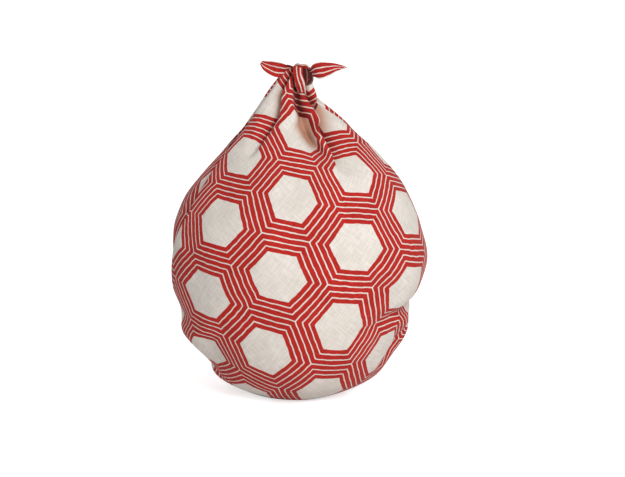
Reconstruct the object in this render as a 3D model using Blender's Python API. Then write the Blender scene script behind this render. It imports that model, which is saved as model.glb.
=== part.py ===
"""Furoshiki wrap: one square cloth drawn up round a full bundle and tied at the top by two opposite corners.

The cloth is one sheet. Its front and back corners stand up as two tongues that gather into the neck and
are tied there. Its left and right corners are folded in at the sides, so each side has a flap with a tucked
lip, a mouth above the lip, and a pleat where the flap goes under each tongue.

Frame: +Z up, the front faces -Y and +X is to its right. The origin is the middle of the flat foot.
Sizes are in millimetres and degrees; the meshes are made in metres. An angle goes round the bundle from
its front (0) to its right side (90), its back (180) and its left side (-90).
"""

import math
from collections import namedtuple

import bmesh
import bpy
from mathutils import Vector

MM = 0.001
MERGE_DISTANCE = 1e-6

# The cloth.
CLOTH_THICKNESS = 1.2
LIP_HEIGHT = 246.0  # the tucked upper edge of the side flaps
LIP_BEND = 2.2
TUCK_LENGTH = 60.0
TUCK_NARROWING = 0.6  # the share of its width that a tucked corner loses on its way down
NECK_HEIGHT = 322.0  # where the gathered tongues go into the knot

# Across a pleat the cloth bends inward, runs straight, and bends back. On the foot the pleat lies open;
# further up its straight middle has turned right round, so that it runs back under the edge, and gets deeper.
PLEAT_BEND = 1.15  # radius of its two bends when it is closed, to the middle of the cloth
PLEAT_START = 2.0
PLEAT_UNDER = 11.0
NECK_PLEAT_SHARE = 0.25  # at most this share of the radius, in the narrow neck
PLEAT_CLOSES = (20.0, 84.0)  # from this height to that
PLEAT_DEEPENS = (70.0, 150.0)
LEAST_TURN = 0.01  # radians, in an open pleat
LAYER_RAMP = 25.0  # how gently the layers part again beside a pleat
LAYER_FLAT = 2.0  # and how far past the pleat they still lie flat on each other

# Outline: one row for each level, with the reach from the origin to each side.
Section = namedtuple("Section", "height left right front back")
SECTIONS = [
    Section(0.0, 16, 16, 16, 16),
    Section(0.0, 44, 42, 40, 40),
    Section(5.0, 62, 62, 56, 55),
    Section(20.0, 86, 82, 76, 75),
    Section(46.0, 106, 101, 93, 90),
    Section(76.0, 117, 111, 102, 98),
    Section(108.0, 126, 119, 106, 101),
    Section(140.0, 126, 126, 106, 100),
    Section(170.0, 124, 119, 99, 94),
    Section(196.0, 113, 108, 87, 83),
    Section(222.0, 94, 95, 70, 67),
    Section(246.0, 72, 74, 53, 51),
    Section(268.0, 53, 49, 39, 38),
    Section(288.0, 37, 29, 27, 26),
    Section(306.0, 25, 17, 18, 17),
    Section(NECK_HEIGHT, 16, 13, 12, 12),
]

# Folds that run down from the neck: the angle at each end, the height where one dies out, its depth and
# half-width. A negative depth is a ridge.
# In the narrow neck neither size is more than its share of the radius.
FOLD_DEEPENS = 0.45  # the share of its length over which a fold gets its depth
NECK_FOLD_DEPTH = 0.30
NECK_FOLD_WIDTH = 0.34
Fold = namedtuple("Fold", "top_angle foot_angle foot_height depth half_width")
FOLDS = [
    Fold(-8, 8, 200, 12.0, 9.0),  # the deep middle cleft
    Fold(-42, -21, 228, 8.5, 7.5),  # left of the broad middle ridge
    Fold(38, 39, 200, 8.0, 8.0),  # right of the second ridge
    Fold(-26, -14, 214, -2.5, 8.0),
    Fold(18, 24, 205, -3.0, 8.0),
    Fold(176, 168, 200, 10.0, 9.0),  # the back's own cleft
    Fold(142, 148, 232, 7.5, 8.0),
    Fold(-147, -146, 224, 8.0, 8.0),
]

# Dents and bulges of the filled body: place, length along the crease and half-width across it, the crease's
# slope from level, and depth. A negative depth is a bulge.
Crease = namedtuple("Crease", "angle height length half_width slope depth")
CREASES = [
    Crease(84, 99, 62, 10, 8, 9.0),  # the nick in the right side
    Crease(74, 50, 70, 9, 58, 4.5),  # the pucker low on the right
    Crease(60, 128, 80, 26, 20, -2.0),
    Crease(-74, 92, 46, 11, -20, 4.0),
    Crease(-30, 60, 90, 24, -30, -1.5),
    Crease(30, 205, 90, 15, 62, 2.2),
    Crease(-52, 150, 80, 16, -70, 2.0),
    Crease(150, 110, 100, 20, 35, 3.0),
    Crease(-140, 80, 90, 16, -25, 3.0),
    Crease(120, 60, 60, 14, 50, 3.0),
]

# The turned edges of the four pleats: their angles at each level.
PleatEdges = namedtuple("PleatEdges", "height front_left front_right back_right back_left")
PLEATS = [
    PleatEdges(0.0, -76, 84, 120, -110),
    PleatEdges(60.0, -70, 92, 130, -112),
    PleatEdges(122.0, -76, 99, 134, -116),
    PleatEdges(188.0, -62, 93, 130, -112),
    PleatEdges(246.0, -66, 82, 116, -110),
    PleatEdges(284.0, -76, 80, 106, -104),
    PleatEdges(NECK_HEIGHT, -80, 80, 102, -102),
]
FRONT, BACK = 0.0, 180.0

# How finely the cloth is divided: columns in a quarter of the way round, and rows between two sections.
TONGUE_STEPS = 11
BEND_STEPS = 2
UNDER_STEPS = 2
FLAP_STEPS = 3
ROWS_PER_SECTION = [1, 2, 1, 2, 2, 2, 2, 2, 2, 2, 2, 2, 2, 1, 1]
LIP_BEND_ROWS = 2
TUCK_ROWS = 3

# The gathered cloth in the neck is one solid core, as deep as its folds. It starts below the knot and ends
# in it.
CORE_FROM, CORE_TO = 304.0, 327.0
CORE_SIDES = 20
CORE_SHARE = 0.74  # of the neck's outline, so that its folds show outside

# The knot: each tied end is a rope of gathered cloth along part of an oval. The oval's plane stands on its
# heading, an angle like those round the bundle, and leans over by its lean. It begins and ends at angles in
# that plane: 0 is at the heading and 90 is at the top.
Strand = namedtuple("Strand", "x y z reach rise heading lean begin end radius")
STRANDS = {
    "strap": Strand(2.0, 0.5, 319.0, 8.5, 10.5, 2, 0, -40, 205, 4.6),
    "roll": Strand(3.0, 0.0, 321.5, 9.0, 7.5, 100, 62, -125, 120, 4.4),
}
STRAND_STEPS = 14

# The free ends: a leaf of doubled cloth, with a row for each place along it.
LeafPlace = namedtuple("LeafPlace", "x y z half_width curl")
LEAF_THICKNESS = 2.4
LEAVES = {
    "left_ear": [
        LeafPlace(-3, 2, 323, 4.0, 0.0),
        LeafPlace(-11, 2, 324, 5.4, 1.5),
        LeafPlace(-19, 0, 327, 7.0, 2.4),
        LeafPlace(-28, -2, 330, 6.2, 2.0),
        LeafPlace(-36, -3, 334, 3.6, 0.8),
    ],
    "right_ear": [
        LeafPlace(5, 0, 324, 4.0, 0.0),
        LeafPlace(13, -2, 325, 6.2, -1.5),
        LeafPlace(21, -4, 327, 8.8, -3.0),
        LeafPlace(33, -5, 328.5, 7.0, -2.2),
        LeafPlace(49, -4, 329, 1.0, 0.0),
    ],
}
LEAF_LENGTH_STEPS = 12
LEAF_WIDTH_STEPS = 4
LEAF_LOOK = 0.05  # how far either way a leaf's direction is measured, as a share of its length

PRINT_COLOUR = (0.50, 0.035, 0.025, 1.0)
PRINT_ROUGHNESS = 0.85


def smooth(value, low=0.0, high=1.0):
    """0 below low and 1 above high, with an even curve between."""
    share = min(1.0, max(0.0, (value - low) / (high - low)))
    return share * share * (3 - 2 * share)


def curve_value(values, place):
    """The value at a fractional place along a row of values, on a smooth curve through them (Catmull-Rom)."""
    last = len(values) - 1
    i = min(int(place), last - 1)
    t = place - i
    before, start, end, after = (values[min(max(i + k, 0), last)] for k in (-1, 0, 1, 2))
    slope_in = (end - before) / 2
    slope_out = (after - start) / 2
    return (
        start * (2 * t**3 - 3 * t**2 + 1)
        + slope_in * (t**3 - 2 * t**2 + t)
        + end * (3 * t**2 - 2 * t**3)
        + slope_out * (t**3 - t**2)
    )


def section_at(place):
    """The outline at a fractional row of SECTIONS."""
    values = [curve_value(column, place) for column in zip(*SECTIONS)]
    return Section(max(0.0, values[0]), *values[1:])


def section_of_height(height):
    """The outline at a height above the foot."""
    level = sum(height >= row.height for row in SECTIONS[1:-1])
    low, high = SECTIONS[level].height, SECTIONS[level + 1].height
    return section_at(level + (height - low) / (high - low))


def edge_angle(name, height):
    """The angle of a pleat's turned edge at a height."""
    level = sum(height >= row.height for row in PLEATS[1:-1])
    low, high = PLEATS[level].height, PLEATS[level + 1].height
    share = min(1.0, (height - low) / (high - low))
    return curve_value([getattr(row, name) for row in PLEATS], level + share)


def turn_between(a, b):
    """The angle from a to b, the short way round."""
    return (b - a + 180) % 360 - 180


def fold_depth(angle, height, radius):
    """How far the folds below the neck press the cloth in at this place."""
    depth = 0.0
    for fold in FOLDS:
        rise = (height - fold.foot_height) / (NECK_HEIGHT - fold.foot_height)
        if rise <= 0:
            continue
        middle = fold.foot_angle + (fold.top_angle - fold.foot_angle) * rise
        across = math.radians(turn_between(middle, angle)) * radius
        half_width = min(fold.half_width, NECK_FOLD_WIDTH * radius)
        deepest = min(abs(fold.depth), NECK_FOLD_DEPTH * radius) * smooth(rise, 0.0, FOLD_DEEPENS)
        depth += math.copysign(deepest, fold.depth) * math.exp(-((across / half_width) ** 2))
    return depth


def crease_depth(angle, height, radius):
    """How far the dents of the filled body press the cloth in at this place."""
    depth = 0.0
    for crease in CREASES:
        around = math.radians(turn_between(crease.angle, angle)) * radius
        up = height - crease.height
        slope = math.radians(crease.slope)
        along = around * math.cos(slope) + up * math.sin(slope)
        across = up * math.cos(slope) - around * math.sin(slope)
        shape = (2 * along / crease.length) ** 2 + (across / crease.half_width) ** 2
        depth += crease.depth * math.exp(-shape)
    return depth


def outline_point(section, angle):
    """The outline's x and y at an angle, without its folds."""
    turn = math.radians(angle)
    reach_x = section.right if math.sin(turn) > 0 else section.left
    reach_y = section.front if math.cos(turn) > 0 else section.back
    return reach_x * math.sin(turn), -reach_y * math.cos(turn)


def on_bundle(section, angle, outward):
    """A point of the cloth at this level and angle, moved outward from the outline. In millimetres."""
    x, y = outline_point(section, angle)
    radius = math.hypot(x, y)
    pressed = fold_depth(angle, section.height, radius)
    pressed += crease_depth(angle, section.height, radius) * smooth(section.height, 2, 26)
    share = (radius - pressed + outward) / radius
    return Vector((x * share, y * share, section.height + CLOTH_THICKNESS / 2))


Quarter = namedtuple("Quarter", "middle edge other_edge")
QUARTERS = [
    Quarter(FRONT, "front_right", "back_right"),
    Quarter(BACK, "back_right", "front_right"),
    Quarter(BACK, "back_left", "front_left"),
    Quarter(FRONT, "front_left", "back_left"),
]
Column = namedtuple("Column", "quarter part share")
STEPS = {
    "tongue": TONGUE_STEPS,
    "outer bend": BEND_STEPS,
    "under": UNDER_STEPS,
    "inner bend": BEND_STEPS,
    "flap": FLAP_STEPS,
}
TONGUE_PARTS = ("tongue", "outer bend", "under")


def bundle_columns():
    """The columns all the way round. Each quarter goes from the middle of a tongue to that of a flap."""
    ring = []
    for i, quarter in enumerate(QUARTERS):
        columns = [Column(quarter, "tongue", 0.0)]
        for part, steps in STEPS.items():
            columns += [Column(quarter, part, (k + 1) / steps) for k in range(steps)]
        ring += columns[:0:-1] if i % 2 else columns[:-1]
    return ring


def pleat_place(part, share, turned, under):
    """How far along and how far inward a place in a pleat is from the start of its outer bend."""
    bend_radius = math.pi * PLEAT_BEND / turned
    arc = turned * share
    along, inward = bend_radius * math.sin(arc), bend_radius * (1 - math.cos(arc))
    if part == "outer bend":
        return along, inward
    bend_along, bend_inward = bend_radius * math.sin(turned), bend_radius * (1 - math.cos(turned))
    if part == "under":
        return bend_along + share * under * math.cos(turned), bend_inward + share * under * math.sin(turned)
    back_along, back_inward = pleat_place("outer bend", 1 - share, turned, under)
    whole_along = 2 * bend_along + under * math.cos(turned)
    whole_inward = 2 * bend_inward + under * math.sin(turned)
    return whole_along - back_along, whole_inward - back_inward


def flap_half(quarter, height):
    """The turn from a pleat's edge to the middle of its flap."""
    return turn_between(edge_angle(quarter.edge, height), edge_angle(quarter.other_edge, height)) / 2


def column_place(column, section):
    """The angle of a column at this level, and its outward offset."""
    quarter, height = column.quarter, section.height
    edge = edge_angle(quarter.edge, height)
    to_middle = flap_half(quarter, height)
    degree = math.radians(1) * math.hypot(*outline_point(section, edge))
    toward_flap = math.copysign(1, to_middle)
    turned = max(LEAST_TURN, math.pi * smooth(height, *PLEAT_CLOSES))
    under = PLEAT_START + (PLEAT_UNDER - PLEAT_START) * smooth(height, *PLEAT_DEEPENS)
    under = min(under, NECK_PLEAT_SHARE * degree / math.radians(1))
    end_along, end_inward = pleat_place("inner bend", 1.0, turned, under)
    begin_along = -max(0.0, end_along) / 2
    if column.part == "tongue":
        turn = turn_between(quarter.middle, edge) + toward_flap * begin_along / degree
        to_edge = abs(turn) * (1 - column.share) * degree
        rise = 1 - smooth(to_edge, under + LAYER_FLAT, under + LAYER_FLAT + LAYER_RAMP)
        return quarter.middle + column.share * turn, end_inward / 2 * rise
    if column.part == "flap":
        start = toward_flap * (begin_along + end_along) / degree
        turn = start + column.share * (to_middle - start)
        from_edge = abs(turn - start) * degree
        rise = 1 - smooth(from_edge, under + LAYER_FLAT, under + LAYER_FLAT + LAYER_RAMP)
        return edge + turn, -end_inward / 2 * rise
    along, inward = pleat_place(column.part, column.share, turned, under)
    return edge + toward_flap * (begin_along + along) / degree, end_inward / 2 - inward


def is_tucked(column):
    """Whether a column goes over the lip, and not up into the knot."""
    return column.part == "flap" or (column.part == "inner bend" and column.share == 1.0)


def tucked_point(column, section, tuck):
    """A flap's point that has gone this far over its lip and down the inside."""
    angle, outward = column_place(column, section)
    flap_middle = edge_angle(column.quarter.edge, section.height) + flap_half(column.quarter, section.height)
    over = min(tuck / LIP_BEND, math.pi)
    hang = max(0.0, tuck - math.pi * LIP_BEND)
    angle += turn_between(angle, flap_middle) * TUCK_NARROWING * hang / TUCK_LENGTH
    outward -= LIP_BEND * (1 - math.cos(over))
    return on_bundle(section, angle, outward) + Vector((0, 0, LIP_BEND * (math.sin(over) - 1) - hang))


def levels():
    """The places along SECTIONS of the cloth's rows, and which of them is the lip."""
    places = [0.0]
    for i, count in enumerate(ROWS_PER_SECTION):
        places += [i + (k + 1) / count for k in range(count)]
    lip = min(range(len(places)), key=lambda i: abs(section_at(places[i]).height - LIP_HEIGHT))
    return places, lip


def new_object(name, mesh_maker):
    """An object whose mesh comes from a bmesh, scaled from millimetres to metres."""
    mesh = bpy.data.meshes.new(name)
    mesh_maker.to_mesh(mesh)
    mesh_maker.free()
    for vertex in mesh.vertices:
        vertex.co *= MM
    mesh.shade_smooth()
    obj = bpy.data.objects.new(name, mesh)
    bpy.context.scene.collection.objects.link(obj)
    return obj


def thicken(obj, thickness):
    """Gives a sheet its thickness, half to each side."""
    solidify = obj.modifiers.new("thickness", "SOLIDIFY")
    solidify.thickness = thickness * MM
    solidify.offset = 0.0


def make_bundle():
    """The body of the cloth: a grid of rows and columns laid over the bundle, open at the two mouths."""
    places, lip = levels()
    lip_section = section_at(places[lip])
    half_turn = math.pi * LIP_BEND
    tucks = [half_turn * k / LIP_BEND_ROWS for k in range(LIP_BEND_ROWS)]
    tucks += [half_turn + TUCK_LENGTH * k / TUCK_ROWS for k in range(TUCK_ROWS + 1)]
    ring = bundle_columns()
    bm = bmesh.new()
    rows = []
    for i, place in enumerate(places):
        section = section_at(place)
        row = []
        for column in ring:
            if is_tucked(column) and 0 <= i - lip < len(tucks):
                row.append(bm.verts.new(tucked_point(column, lip_section, tucks[i - lip])))
            elif i <= lip or column.part in TONGUE_PARTS:
                row.append(bm.verts.new(on_bundle(section, *column_place(column, section))))
            else:
                row.append(None)
        rows.append(row)
    for low, high in zip(rows, rows[1:]):
        for k in range(len(ring)):
            n = (k + 1) % len(ring)
            corners = [low[k], low[n], high[n], high[k]]
            if None not in corners:
                bm.faces.new(corners)
    bm.faces.new(reversed(rows[0]))
    return new_object("furoshiki_cloth", bm)


def make_core():
    """The gathered cloth that fills the neck: a plug on the neck's own outline."""
    bm = bmesh.new()
    bmesh.ops.create_cone(
        bm, cap_ends=True, segments=CORE_SIDES, radius1=1, radius2=1, depth=CORE_TO - CORE_FROM
    )
    for vertex in bm.verts:
        height = (CORE_FROM + CORE_TO) / 2 + vertex.co.z
        angle = math.degrees(math.atan2(vertex.co.x, -vertex.co.y))
        x, y = outline_point(section_of_height(min(height, NECK_HEIGHT)), angle)
        vertex.co = (x * CORE_SHARE, y * CORE_SHARE, height)
    return new_object("core", bm)


def make_strand(name, strand):
    """A rope of gathered cloth along part of an oval."""
    heading, lean = math.radians(strand.heading), math.radians(strand.lean)
    ahead = Vector((math.sin(heading), -math.cos(heading), 0))
    aside = Vector((ahead.y, -ahead.x, 0))
    upward = Vector((0, 0, 1)) * math.cos(lean) + aside * math.sin(lean)
    centre = Vector((strand.x, strand.y, strand.z))
    curve = bpy.data.curves.new(name, "CURVE")
    curve.dimensions = "3D"
    curve.bevel_depth = strand.radius * MM
    curve.bevel_resolution = 2
    curve.use_fill_caps = True
    spline = curve.splines.new("POLY")
    spline.points.add(STRAND_STEPS)
    for i, point in enumerate(spline.points):
        turn = math.radians(strand.begin + (strand.end - strand.begin) * i / STRAND_STEPS)
        place = centre + ahead * (strand.reach * math.cos(turn)) + upward * (strand.rise * math.sin(turn))
        point.co = (*(place * MM), 1.0)
    rope = bpy.data.objects.new(name, curve)
    bpy.context.scene.collection.objects.link(rope)
    bpy.context.view_layer.update()
    bm = bmesh.new()
    bm.from_mesh(rope.evaluated_get(bpy.context.evaluated_depsgraph_get()).to_mesh())
    bpy.data.objects.remove(rope)
    bmesh.ops.remove_doubles(bm, verts=bm.verts, dist=MERGE_DISTANCE)
    bmesh.ops.recalc_face_normals(bm, faces=bm.faces)
    bmesh.ops.scale(bm, vec=(1 / MM,) * 3, verts=bm.verts)
    return new_object(name, bm)


def make_leaf(name, places):
    """A free end: a leaf-shaped sheet along its places, curled across its width."""
    bm = bmesh.new()
    bmesh.ops.create_grid(bm, x_segments=LEAF_LENGTH_STEPS, y_segments=LEAF_WIDTH_STEPS, size=0.5)
    columns = list(zip(*places))

    def leaf_place(share):
        place = min(max(share, 0.0), 1.0) * (len(places) - 1)
        return LeafPlace(*(curve_value(column, place) for column in columns))

    for vertex in bm.verts:
        share, across = vertex.co.x + 0.5, vertex.co.y * 2
        here, before, after = (leaf_place(share + step) for step in (0, -LEAF_LOOK, LEAF_LOOK))
        along = (Vector(after[:3]) - Vector(before[:3])).normalized()
        facing = Vector((0, -1, 0))
        upward = facing.cross(along).normalized()
        upward *= math.copysign(1, upward.z)
        curl = here.curl * (across**2 - 0.5)
        vertex.co = Vector(here[:3]) + upward * (across * here.half_width) + facing * curl
    return new_object(name, bm)


def union(body, piece):
    """Joins a piece to the body, so that the cloth is one solid."""
    piece.hide_render = True
    piece.display_type = "WIRE"
    join = body.modifiers.new(f"with {piece.name}", "BOOLEAN")
    join.operation = "UNION"
    join.object = piece


def cloth_material():
    """Printed cotton, in the mean colour of the print."""
    material = bpy.data.materials.new("printed cotton")
    material.use_nodes = True
    shader = material.node_tree.nodes["Principled BSDF"]
    shader.inputs["Base Color"].default_value = PRINT_COLOUR
    shader.inputs["Roughness"].default_value = PRINT_ROUGHNESS
    shader.inputs["Metallic"].default_value = 0.0
    return material


def main():
    for obj in list(bpy.data.objects):
        bpy.data.objects.remove(obj)
    cloth = make_bundle()
    cloth.data.materials.append(cloth_material())
    thicken(cloth, CLOTH_THICKNESS)
    union(cloth, make_core())
    for name, strand in STRANDS.items():
        union(cloth, make_strand(name, strand))
    for name, places in LEAVES.items():
        leaf = make_leaf(name, places)
        thicken(leaf, LEAF_THICKNESS)
        union(cloth, leaf)


main()
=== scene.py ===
# %% [markdown]
# # A furoshiki wrap, tied at the top
#
# A furoshiki is one square of printed cotton, 70 cm each way. Here it is drawn up round a full bundle.
# The front and back corners rise as two tongues, gather into a neck and are tied there, so the knot and
# its two "ears" are the cloth's own corners. The side corners are folded in: at each side a flap with a
# tucked lip shows between the tongues.
#
# The whole wrap is one sheet, so it is one mesh. This lesson bends a flat grid into that shape, gives it
# the cloth's thickness and reverse side, lays the flat cloth's own coordinates over it, and prints and
# weaves it with shader nodes.

import bisect
import functools
import math
from collections import namedtuple

import bmesh
import bpy
from mathutils import Matrix, Vector, noise


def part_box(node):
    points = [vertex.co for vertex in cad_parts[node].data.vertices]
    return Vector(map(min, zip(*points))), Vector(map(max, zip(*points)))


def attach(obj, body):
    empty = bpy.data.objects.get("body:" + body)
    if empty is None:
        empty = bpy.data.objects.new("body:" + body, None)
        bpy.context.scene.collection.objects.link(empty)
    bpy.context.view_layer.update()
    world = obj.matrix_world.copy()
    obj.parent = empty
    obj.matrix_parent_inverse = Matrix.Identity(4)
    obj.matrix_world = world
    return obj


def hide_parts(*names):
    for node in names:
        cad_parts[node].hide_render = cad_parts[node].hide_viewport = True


MM = 0.001

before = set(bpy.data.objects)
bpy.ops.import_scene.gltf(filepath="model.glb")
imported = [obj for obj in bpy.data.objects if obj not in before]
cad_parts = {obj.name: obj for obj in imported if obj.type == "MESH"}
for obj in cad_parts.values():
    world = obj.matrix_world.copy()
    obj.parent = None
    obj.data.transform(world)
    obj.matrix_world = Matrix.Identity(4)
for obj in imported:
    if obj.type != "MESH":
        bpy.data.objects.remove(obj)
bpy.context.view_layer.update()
low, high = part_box("furoshiki_cloth")
print("the frame is", [round(side / MM, 1) for side in high - low], "mm")

# %% [markdown]
# ## The bundle's outline
#
# A filled wrap is a soft pear, flattened at its foot and drawn in to the neck. Its outline is a short table:
# for each level, how far the cloth reaches to each of its four sides. A smooth curve through the rows fills
# in the levels between. All sizes here are in millimetres. An angle goes round the bundle from its front (0)
# to its right (90), its back (180) and its left (-90).

# %% Outline
NECK_HEIGHT = 322.0
TOP_HEIGHT = 327.0
LIP_HEIGHT = 246.0

Section = namedtuple("Section", "height left right front back")
SECTIONS = [
    Section(0.0, 0, 0, 0, 0),
    Section(0.0, 44, 31, 40, 40),
    Section(5.0, 62, 54, 56, 55),
    Section(20.0, 87, 82, 76, 75),
    Section(46.0, 99, 97, 93, 90),
    Section(76.0, 116, 109, 102, 98),
    Section(108.0, 123, 118, 106, 101),
    Section(140.0, 126, 126, 106, 100),
    Section(170.0, 124, 119, 99, 94),
    Section(196.0, 113, 108, 87, 83),
    Section(222.0, 94, 95, 70, 67),
    Section(LIP_HEIGHT, 72, 74, 53, 51),
    Section(268.0, 50, 49, 39, 38),
    Section(288.0, 36, 31, 27, 26),
    Section(306.0, 25, 17, 18, 17),
    Section(NECK_HEIGHT, 13, 11, 11, 11),
    Section(325.5, 9, 8, 8, 8),
    Section(TOP_HEIGHT, 5, 5, 5, 5),
    Section(TOP_HEIGHT, 1, 1, 1, 1),
]
LEAST_REACH = 0.2  # the foot's first ring has this radius until it is closed


def smooth(value, low=0.0, high=1.0):
    """0 below low and 1 above high, with an even curve between."""
    share = min(1.0, max(0.0, (value - low) / (high - low)))
    return share * share * (3 - 2 * share)


def curve_value(values, place):
    """The value at a fractional place along a row of values, on a smooth curve through them."""
    last = len(values) - 1
    i = min(int(place), last - 1)
    t = place - i
    before, start, end, after = (values[min(max(i + k, 0), last)] for k in (-1, 0, 1, 2))
    slope_in = (end - before) / 2
    slope_out = (after - start) / 2
    return (
        start * (2 * t**3 - 3 * t**2 + 1)
        + slope_in * (t**3 - 2 * t**2 + t)
        + end * (3 * t**2 - 2 * t**3)
        + slope_out * (t**3 - t**2)
    )


def section_at(place):
    """The outline at a fractional row of the table."""
    values = [curve_value(column, place) for column in zip(*SECTIONS)]
    return Section(max(0.0, values[0]), *(max(LEAST_REACH, reach) for reach in values[1:]))


def outline_point(section, angle):
    """The outline's x and y at an angle, without folds."""
    turn = math.radians(angle)
    reach_x = section.right if math.sin(turn) > 0 else section.left
    reach_y = section.front if math.cos(turn) > 0 else section.back
    return reach_x * math.sin(turn), -reach_y * math.cos(turn)


def turn_between(a, b):
    """The angle from a to b, the short way round."""
    return (b - a + 180) % 360 - 180


widest = max(SECTIONS, key=lambda section: section.left + section.right)
print("widest at", widest.height, "mm:", widest.left + widest.right, "mm")

# %% [markdown]
# ## Folds, gathers and dents
#
# The knot pulls the tongues in, so long folds run down from it. Each fold is a row: its angles from the level
# where it dies out up to the neck, which of its walls is steep at those levels, its lowest level, its depth,
# its width on the steep and on the gentle side, and how far the crest above its steep wall hangs over it.
# Finer gathers lie between the folds near the knot. Further down the cloth is taut, with a few dents and
# puckers where the filling gives way. Apart from the crests, which also lean over, all of these only move
# the cloth in or out, by a depth that depends on the place. So layers that lie on each other stay together.

# %% Folds
FOLD_DEEPENS = 0.34  # the share of its rise in which a fold gets its full depth
NECK_FOLD_DEPTH = 0.8  # of the radius
FOLD_FULL_RADIUS = 26.0  # where the cloth is drawn in more than this, its folds get narrower too
CREASE_ROUNDING = 0.2  # of a fold's width
WALL_CURVE = 1.25  # how quickly a wall steepens toward the fold's bottom
CREST = 2.2  # the crest above a fold's steep wall is this many of the wall's widths from its bottom
LEFT, EVEN, RIGHT = -1.0, 0.0, 1.0  # the side of a fold's steep wall
OVERLAP_SPREAD = 9.0  # how far beyond its crest a fold still draws the cloth over
HIDDEN_DEEPER, HIDDEN_WIDER = 0.3, 1.2  # the innermost layer under a fold is bent less sharply
# painted shade: the fold depths between which the cloth's colour is painted shaded
PAINTED_SHADE_DEPTHS = (0.2, 0.6)  # shares of the deepest fold between which the cloth turns to its shaded colour
Fold = namedtuple("Fold", "angles steep_sides foot_height depth narrow wide overlap")
FOLDS = [
    Fold((20, 20, 17, 8, -5, -11, -17), (RIGHT, RIGHT, 0.8, -0.6, LEFT, LEFT, LEFT), 234, 34, 2.2, 9.0, 5.5),
    Fold((-38, -35, -32, -42, -38), (RIGHT, RIGHT), 240, 30, 2.4, 8.0, 5.5),
    Fold((40, 42, 32, 20), (LEFT, LEFT), 272, 16, 3.2, 5.0, 2.0),
    Fold((30, 33, 42, 72, 80), (LEFT, LEFT), 224, 30, 3.4, 13.0, 6.5),
    Fold((168, 172, 176), (LEFT, LEFT), 196, 20, 3.0, 7.0, 5.0),
    Fold((147, 142, 140), (LEFT, LEFT), 220, 16, 3.0, 6.0, 4.0),
    Fold((-146, -145, -145), (RIGHT, RIGHT), 214, 16, 3.0, 6.0, 4.0),
    Fold((158, 158), (EVEN, EVEN), 262, 4, 4.0, 4.0, 0.0),
    Fold((-166, -165), (EVEN, EVEN), 258, 4, 4.0, 4.0, 0.0),
]


def folds_at(angle, height, radius, hidden):
    """How far the folds below the neck press the cloth in here, and how far they draw it to the right."""
    most = NECK_FOLD_DEPTH * radius
    size = min(1.0, radius / FOLD_FULL_RADIUS)
    depth = drawn = 0.0
    for fold in FOLDS:
        rise = (height - fold.foot_height) / (NECK_HEIGHT - fold.foot_height)
        if rise <= 0:
            continue
        rise = min(rise, 1.0)
        middle = curve_value(fold.angles, rise * (len(fold.angles) - 1))
        lean = curve_value(fold.steep_sides, rise * (len(fold.steep_sides) - 1))
        steep, sharpness = math.copysign(1, lean), min(1.0, abs(lean))
        narrow = fold.wide + (fold.narrow - fold.wide) * sharpness
        across = math.radians(turn_between(middle, angle)) * radius * steep
        grown = smooth(rise, 0.0, FOLD_DEEPENS)
        width = (narrow if across > 0 else fold.wide) * size * (1 + HIDDEN_WIDER * hidden)
        side = math.hypot(across / width, CREASE_ROUNDING) - CREASE_ROUNDING
        depth += min(fold.depth * grown, most) * (1 + HIDDEN_DEEPER * hidden) * math.exp(-(side**WALL_CURVE))
        crest = CREST * narrow * size
        beyond = max(0.0, across - crest) / (OVERLAP_SPREAD * size)
        over = smooth(across, 0.0, crest) * math.exp(-beyond)
        drawn -= steep * sharpness * fold.overlap * size * grown * over * (1 - hidden)
    return most * math.tanh(depth / most), drawn


def painted_fold_shade(section, angle):
    """How much shade is painted into the cloth's colour here: 0 on the open cloth, and up to 1 deep in a
    fold.
    """
    radius = math.hypot(*outline_point(section, angle))
    pressed, _ = folds_at(angle, section.height, radius, 0.0)
    return smooth(pressed / (NECK_FOLD_DEPTH * radius), *PAINTED_SHADE_DEPTHS)


print(len(FOLDS), "folds run down from the knot")

# %% Dents and puckers
Crease = namedtuple("Crease", "angle height length half_width slope depth")
CREASES = [
    Crease(88, 98, 130, 7, 8, 17.0),
    Crease(94, 66, 90, 26, 0, 4.5),
    Crease(-94, 50, 80, 17, 0, 12.0),
    Crease(74, 50, 70, 8, 58, 4.5),
    Crease(78, 66, 40, 4, 40, 2.2),
    Crease(66, 44, 46, 4, 50, 1.8),
    Crease(86, 40, 40, 4, 64, 1.6),
    Crease(60, 128, 80, 26, 20, -2.0),
    Crease(-74, 92, 46, 10, -20, 4.0),
    Crease(-86, 94, 56, 5, -62, 3.5),
    Crease(-76, 66, 60, 5, -66, 3.0),
    Crease(-70, 36, 50, 6, -50, 3.0),
    Crease(-30, 60, 90, 24, -30, -1.5),
    Crease(30, 205, 90, 13, 62, 2.4),
    Crease(-52, 150, 80, 14, -70, 2.2),
    Crease(-40, 205, 60, 8, -60, 1.6),
    Crease(8, 178, 60, 12, 80, 1.8),
    Crease(46, 170, 50, 9, 60, 1.5),
    Crease(150, 110, 100, 20, 35, 3.0),
    Crease(-140, 80, 90, 16, -25, 3.0),
    Crease(120, 60, 60, 14, 50, 3.0),
    Crease(170, 180, 70, 10, 80, 2.0),
]
FOOT_FLAT, FOOT_FREE = 2.0, 26.0


def crease_depth(angle, height, radius):
    """How far the dents of the filled body press the cloth in at this place."""
    depth = 0.0
    for crease in CREASES:
        around = math.radians(turn_between(crease.angle, angle)) * radius
        up = height - crease.height
        slope = math.radians(crease.slope)
        along = around * math.cos(slope) + up * math.sin(slope)
        across = up * math.cos(slope) - around * math.sin(slope)
        shape = (2 * along / crease.length) ** 2 + (across / crease.half_width) ** 2
        depth += crease.depth * math.exp(-shape)
    return depth * smooth(height, FOOT_FLAT, FOOT_FREE)


print(len(CREASES), "dents and bulges on the filled body")

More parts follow.
